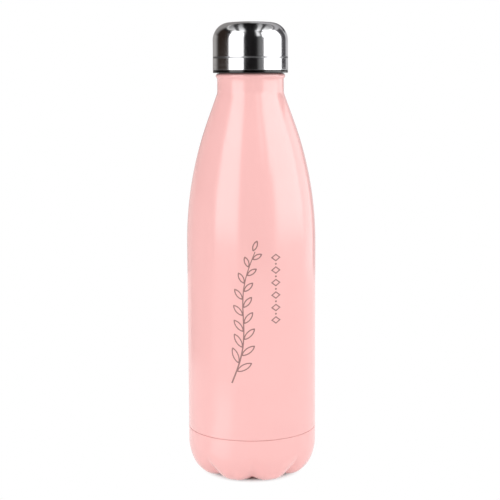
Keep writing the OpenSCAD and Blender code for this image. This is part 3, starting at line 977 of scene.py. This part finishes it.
# Panels on the wall: from and to azimuth, low and high edge, colour, light, and how far
# their sides and their ends fade, in degrees and in mm
wallPanels = {
    "softbox_left": (-66.5, -22.5, -60, 950, "#FFFFFF", 3.4, 8, 250),
    "softbox_left_top": (-74, -24, 780, 1150, "#FFFFFF", 1.6, 8, 60),
    "softbox_right": (38.5, 107, -60, 950, "#FFFFFF", 3.4, 8, 250),
    "softbox_right_top": (47, 110, 780, 1150, "#FFFFFF", 1.6, 8, 60),
    "front_strip": (20, 31, 380, 1150, "#FFFFFF", 1.15, 6, 200),
    "halo_right": (24, 44, 42, 420, "#FFFFFF", 0.18, 14, 40),
    "reflector_left_low": (-140, -68, -60, 320, "#A8A5A2", 1.0, 6, 60),
    "flag_left": (-140, -81.5, 130, 880, "#2D241E", 1.0, 6, 110),
    "flag_left_edge": (-85, -71, 130, 640, "#2D241E", 1.0, 8, 130),
    "reflector_left": (-172, -130, -60, 230, "#D2D0CE", 1.0, 20, 50),
    "reflector_left_mid": (-172, -130, 340, 1150, "#959290", 1.0, 24, 80),
    "reflector_left_high": (-150, -70, 940, 1150, "#D8D7D4", 1.0, 10, 80),
    "reflector_right": (106, 141, -60, 560, "#FFFFFF", 1.7, 14, 90),
    "reflector_right_back": (150, 172, -60, 230, "#DCDADB", 1.0, 16, 50),
    "reflector_right_mid": (106, 172, 470, 720, "#A9A7A9", 1.0, 16, 80),
    "reflector_right_high": (106, 172, 640, 1150, "#B9B8B9", 1.0, 16, 80),
    "rail_right": (98, 158, 860, 1000, "#5A585A", 1.0, 20, 50),
    "cap_side_left": (-180, -123, 190, 420, "#AFACA9", 1.0, 26, 50),
    "cap_side_right": (144, 180, 190, 420, "#DEDCDE", 1.0, 46, 50),
}
# Panels under the roof: their two edges in x at the front and at the back of the tent, colour,
# light at the front and at the back, and how far their long sides fade, in mm
roofPanels = {
    "roof_right": (250, 560, 95, 260, "#FFFFFF", 1.6, 0.35, 60),
    "roof_right_side": (540, 760, 220, 760, "#FFFFFF", 2.4, 0.2, 40),
    "roof_left": (-760, -250, -760, -95, "#FFFFFF", 1.7, 0.2, 60),
    "bar_right": (470, 620, 170, 320, "#3A393A", 1.0, 1.0, 34),
    "bar_left": (-740, -570, -295, -120, "#3A393A", 1.0, 1.0, 34),
}
# Cards that lie on the table: from and to azimuth, near and far edge from the axis, colour,
# light, and how far their sides and their ends fade, in degrees and in mm
tableCards = {
    "table_glow": (-63, -33, 38, 260, "#FFFFFF", 2.2, 18, 50),
    "table_shade": (-136, -72, 270, 740, "#B9B5B2", 1.0, 12, 60),
}
# A narrow card to the right, level with the cap, so that little else mirrors it
sideCard = {
    "reach": 80.0,           # from the axis
    "fromDeg": 96.5,
    "toDeg": 125.5,
    "low": 224.0,
    "high": 300.0,
    "colour": "#4A484B",
    "fadeDeg": 9.0,
    "fadeMm": 3.0,
}


def onlyForGloss(card, colour, light, fades=()):
    # A glowing card that mirrors and satin surfaces see and nothing else does. Light is a number
    # or a socket. A fade is a socket, its value where the card is hidden, and where it is full.
    tree = card.active_material.node_tree
    glow = add(tree, "ShaderNodeEmission", Color=hexToLinear(colour), Strength=light)
    share = 1.0
    for value, hidden, full in fades:
        fade = add(tree, "ShaderNodeMapRange", smoothStep,
                   Value=value, From_Min=hidden, From_Max=full)
        share = add(tree, "ShaderNodeMath", multiply, i0=fade.outputs[0], i1=share).outputs[0]
    blend = add(tree, "ShaderNodeMixShader", i0=share,
                i1=add(tree, "ShaderNodeBsdfTransparent").outputs[0], i2=glow.outputs[0])
    tree.links.new(blend.outputs[0], tree.nodes["Material Output"].inputs["Surface"])
    card.visible_camera = False
    card.visible_diffuse = False
    card.visible_shadow = False
    card.visible_transmission = False


def startCard(name, columns, rows, pointAt):
    # a grid bent to its place: pointAt turns shares across and up into a point in mm
    deselectAll()
    bpy.ops.mesh.primitive_grid_add(x_subdivisions=columns, y_subdivisions=rows, size=1)
    card = bpy.context.object
    card.name = name
    for vertex in card.data.vertices:
        vertex.co = Vector(pointAt(vertex.co.x + 0.5, vertex.co.y + 0.5)) * mm
    material, tree, _ = startMaterial(name + "Cloth")
    card.data.materials.append(material)
    place = add(tree, "ShaderNodeTexCoord").outputs["Object"]
    where = add(tree, "ShaderNodeSeparateXYZ", Vector=place)
    return card, tree, where.outputs


def sideFades(tree, where, start, end, fade):
    # fades at both sides of a card that reaches from one azimuth to another
    front = add(tree, "ShaderNodeMath", multiply, i0=where["Y"], i1=-1.0)
    turn = add(tree, "ShaderNodeMath", {"operation": "ARCTAN2"},
               i0=where["X"], i1=front.outputs[0]).outputs[0]
    fades = []
    if start > -math.pi:
        fades.append((turn, start, start + fade))
    if end < math.pi:
        fades.append((turn, end, end - fade))
    return fades


def bentCard(name, fromDeg, toDeg, fadeDeg, radiusAt, heightAt):
    # a card bent round the axis; radius and height are rules that take the share of the way up
    start, end = math.radians(fromDeg - fadeDeg / 2), math.radians(toDeg + fadeDeg / 2)

    def place(across, up):
        a = start + (end - start) * across
        return radiusAt(up) * math.sin(a), -radiusAt(up) * math.cos(a), heightAt(up)

    columns = max(2, int((toDeg - fromDeg) / tent["columnDeg"]))
    card, tree, where = startCard(name, columns, 1, place)
    return card, tree, where, start, end


def makeTentWall(name, fromDeg, toDeg, low, high, colour, light, fadeDeg=0, fadeMm=0,
                 reach=tent["wallR"]):
    # an upright card round the bottle
    card, tree, where, start, end = bentCard(name, fromDeg, toDeg, fadeDeg, lambda up: reach,
                                             lambda up: low + (high - low) * up)
    fades = []
    if fadeDeg:
        fades = [(where["Z"], low * mm, (low + fadeMm) * mm),
                 (where["Z"], high * mm, (high - fadeMm) * mm)]
        fades += sideFades(tree, where, start, end, math.radians(fadeDeg))
    onlyForGloss(card, colour, light, fades)


def makeTableCard(name, fromDeg, toDeg, near, far, colour, light, fadeDeg, fadeMm):
    # a card that lies on the table, as a part of a ring round the bottle
    card, tree, where, start, end = bentCard(name, fromDeg, toDeg, fadeDeg,
                                             lambda out: near + (far - near) * out,
                                             lambda out: tent["cardLift"])
    flat = add(tree, "ShaderNodeCombineXYZ", X=where["X"], Y=where["Y"])
    length = add(tree, "ShaderNodeVectorMath", {"operation": "LENGTH"}, i0=flat.outputs[0])
    away = length.outputs["Value"]
    fades = [(away, near * mm, (near + fadeMm) * mm), (away, far * mm, (far - fadeMm) * mm)]
    fades += sideFades(tree, where, start, end, math.radians(fadeDeg))
    onlyForGloss(card, colour, light, fades)


def makeRoofPanel(name, front0, front1, back0, back1, colour, lightFront, lightBack, fadeMm):
    # a long card under the roof, from the front of the tent to its back
    reach, height = tent["wallR"], tent["roofHeight"] - tent["hang"]
    if lightFront == lightBack:      # a dark bar, which hangs in front of the bright panels
        height -= fadeMm / 4
    card, tree, where = startCard(name, 1, 1, lambda across, up: (
        (front0 + (front1 - front0) * across) * (1 - up) + (back0 + (back1 - back0) * across) * up,
        reach * (2 * up - 1), height))
    # share of the way to the back, and the place between the slanting sides
    up = add(tree, "ShaderNodeMapRange", Value=where["Y"],
             From_Min=-reach * mm, From_Max=reach * mm)
    # the light dies away towards the back, quickly at first
    dying = add(tree, "ShaderNodeMapRange", Value=up.outputs[0], To_Min=1.0, To_Max=0.0)
    squared = add(tree, "ShaderNodeMath", {"operation": "POWER"}, i0=dying.outputs[0], i1=2.0)
    light = add(tree, "ShaderNodeMapRange", Value=squared.outputs[0],
                To_Min=lightBack, To_Max=lightFront)
    fades = []
    for frontX, backX, side in ((front0, back0, 1), (front1, back1, -1)):
        edge = add(tree, "ShaderNodeMapRange", Value=up.outputs[0],
                   To_Min=frontX * mm, To_Max=backX * mm)
        inside = add(tree, "ShaderNodeMath", {"operation": "SUBTRACT"},
                     i0=where["X"], i1=edge.outputs[0])
        if abs(frontX) < reach:
            fades.append((inside.outputs[0], 0.0, side * fadeMm * mm))
    onlyForGloss(card, colour, light.outputs[0], fades)


def makeTent():
    # cloth first, then the panels, each a little further in than the one before
    t = tent
    makeTentWall("tent_wall", -180, 180, 0, t["roofHeight"], t["cloth"], 1.0)
    card = startCard("tent_roof", 1, 1, lambda across, up: (
        t["wallR"] * (2 * across - 1), t["wallR"] * (2 * up - 1), t["roofHeight"]))[0]
    onlyForGloss(card, t["cloth"], 1.0)
    for order, (name, panel) in enumerate(wallPanels.items()):
        makeTentWall(name, *panel, reach=t["wallR"] - t["hang"] * (1 + t["layer"] * order))
    for name, panel in roofPanels.items():
        makeRoofPanel(name, *panel)
    for name, panel in tableCards.items():
        makeTableCard(name, *panel)
    c = sideCard
    makeTentWall("side_card", c["fromDeg"], c["toDeg"], c["low"], c["high"], c["colour"], 1.0,
                 c["fadeDeg"], c["fadeMm"], reach=c["reach"])


# Soft lamps: azimuth, then distance, height, width and height of the lamp's face in mm, and watts
lamps = {
    "lamp_left": (-46, 1000, 1150, 700, 800, 3.9),
    "lamp_right": (72, 1000, 1150, 900, 800, 3.9),
}
aimHeight = 140          # mm, where both point


def makeLamp(name, azimuthDeg, distance, height, width, tall, watts):
    # a broad soft lamp that lights but doesn't show in gloss
    deselectAll()
    a = math.radians(azimuthDeg)
    place = Vector((distance * math.sin(a), -distance * math.cos(a), height)) * mm
    bpy.ops.object.light_add(type="AREA", location=place)
    light = bpy.context.object
    light.name = name
    light.data.shape = "RECTANGLE"
    light.data.size = width * mm
    light.data.size_y = tall * mm
    light.data.energy = watts
    aim = Vector((0, 0, aimHeight)) * mm - place
    light.rotation_euler = aim.to_track_quat("-Z", "Y").to_euler()
    light.visible_camera = False
    light.visible_glossy = False


makeFloor()
makeWorld()
makeTent()
for lampName, lamp in lamps.items():
    makeLamp(lampName, *lamp)
print("studio lit")

bpy.context.scene.view_settings.view_transform = "Standard"
